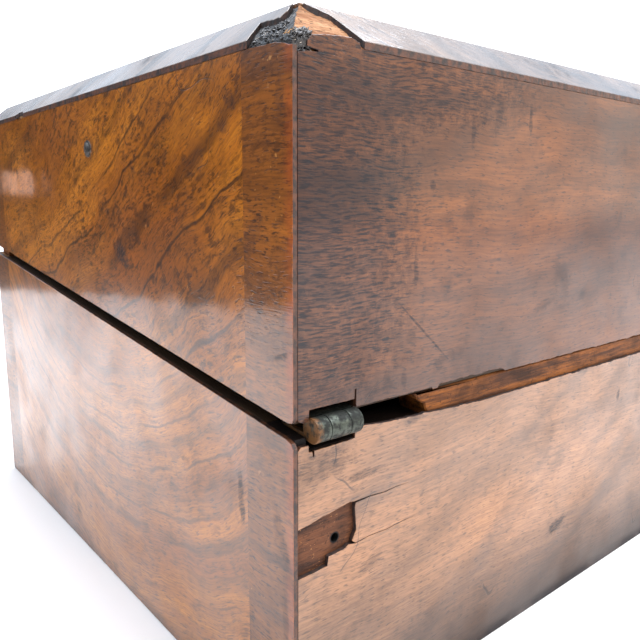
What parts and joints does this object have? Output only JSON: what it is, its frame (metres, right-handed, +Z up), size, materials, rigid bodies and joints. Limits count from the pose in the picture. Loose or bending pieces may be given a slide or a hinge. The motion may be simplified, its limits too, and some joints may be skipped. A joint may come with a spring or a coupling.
{
  "type": "tea caddy",
  "caption": "Veneered wooden tea caddy with a hinged lid that parts from the base along a sloping plane; lidded tea wells and a glass mixing bowl inside.",
  "frame": {"origin": "centre of the whole object's box in X and Y, on the surface it stands on", "axes": "+X along the hinge line (width), +Y towards the hinged back, +Z up"},
  "size_m": [0.2803, 0.1976, 0.1462],
  "materials": {
    "pine": "dry, unpolished",
    "side_veneer": "figured walnut under old french polish, glossy",
    "back_veneer": "plain walnut, worn satin",
    "top_veneer": "figured walnut under old polish, glossy",
    "crossbanding": "walnut cut across the grain, glossy",
    "lipping": "dark, unpolished",
    "mahogany": "satin",
    "tea_foil": "dull tin foil",
    "bone": "turned bone, satin",
    "bowl_glass": "clear, slightly wavy",
    "velvet": "worn silk velvet",
    "old_iron": "tarnished",
    "old_brass": "tarnished grey-green"
  },
  "bodies": {
    "base": {"base_front_board": "pine", "base_back_board": "pine", "base_left_board": "pine", "base_right_board": "pine", "bottom_board": "pine", "base_front_veneer": "side_veneer", "base_back_veneer": "back_veneer", "base_left_veneer": "side_veneer", "base_right_veneer": "side_veneer", "base_crossbands": "crossbanding", "front_lipping": "lipping", "back_lipping": "lipping", "left_lipping": "lipping", "right_lipping": "lipping", "left_partition": "mahogany", "right_partition": "mahogany", "left_tea_liner": "tea_foil", "right_tea_liner": "tea_foil", "bowl_board": "mahogany", "bowl_board_ledges": "mahogany", "lock_case": "old_brass", "lock_selvedge": "old_brass", "lock_key_pin": "old_iron", "lock_screws": "old_brass", "escutcheon": "bone", "left_hinge_base_leaf": "old_brass", "right_hinge_base_leaf": "old_brass", "left_hinge_pin": "old_iron", "right_hinge_pin": "old_iron", "base_hinge_screws": "old_brass"},
    "lid": {"lid_front_board": "pine", "lid_back_board": "pine", "lid_left_board": "pine", "lid_right_board": "pine", "lid_top_board": "pine", "lid_front_veneer": "side_veneer", "lid_back_veneer": "back_veneer", "lid_left_veneer": "side_veneer", "lid_right_veneer": "side_veneer", "lid_crossbands": "crossbanding", "lid_top_veneer": "top_veneer", "front_bevel_veneer": "top_veneer", "back_bevel_veneer": "top_veneer", "left_bevel_veneer": "top_veneer", "right_bevel_veneer": "top_veneer", "lid_lining_pad": "velvet", "left_hinge_lid_leaf": "old_brass", "right_hinge_lid_leaf": "old_brass", "lid_hinge_screws": "old_brass", "lock_link_plate": "old_brass", "link_plate_screws": "old_brass", "repair_nail": "old_iron"},
    "left_tea_lid": {"left_tea_lid": "side_veneer", "left_lid_knob": "bone"},
    "right_tea_lid": {"right_tea_lid": "side_veneer", "right_lid_knob": "bone"},
    "mixing_bowl": {"mixing_bowl": "bowl_glass"},
    "lock_bolt": {"lock_bolt": "old_iron"}
  },
  "joints": [
    {"name": "lid_hinge", "type": "hinge", "parent": "base", "child": "lid", "pos_m": [0, 0.09638, 0.0696], "axis": [-1, 0, 0], "range_deg": [0, 160]},
    {"name": "left_tea_lid_lift", "type": "slide", "parent": "base", "child": "left_tea_lid", "axis": [0, 0, 1], "range_m": [0, 0.04]},
    {"name": "right_tea_lid_lift", "type": "slide", "parent": "base", "child": "right_tea_lid", "axis": [0, 0, 1], "range_m": [0, 0.04]},
    {"name": "bowl_lift", "type": "slide", "parent": "base", "child": "mixing_bowl", "axis": [0, 0, 1], "range_m": [0, 0.04]},
    {"name": "bolt_slide", "type": "slide", "parent": "base", "child": "lock_bolt", "axis": [1, 0, 0], "range_m": [0, 0.0045]}
  ]
}
